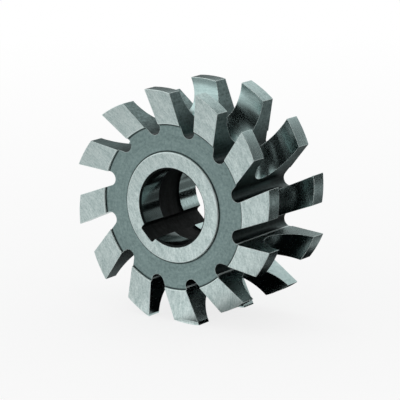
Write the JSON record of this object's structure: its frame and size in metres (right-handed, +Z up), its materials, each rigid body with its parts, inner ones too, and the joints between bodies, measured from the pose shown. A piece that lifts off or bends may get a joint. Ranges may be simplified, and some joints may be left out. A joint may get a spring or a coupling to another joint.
{
  "type": "concave milling cutter",
  "caption": "Disc milling cutter whose form-relieved teeth carry a half-round groove, with a keyed arbor bore, for rounding over an edge.",
  "frame": {"origin": "middle of the bore, halfway across the cutter's width", "axes": "+Y along the bore from the front face to the rear face, +Z up as the cutter stands on two teeth, +X to the right seen from the front"},
  "size_m": [0.121, 0.05, 0.121],
  "materials": {
    "cutter_steel": "ground side faces and hub, darker turned recess, relieved lands and grooves"
  },
  "bodies": {
    "root": {"cutter": "cutter_steel"}
  },
  "joints": []
}
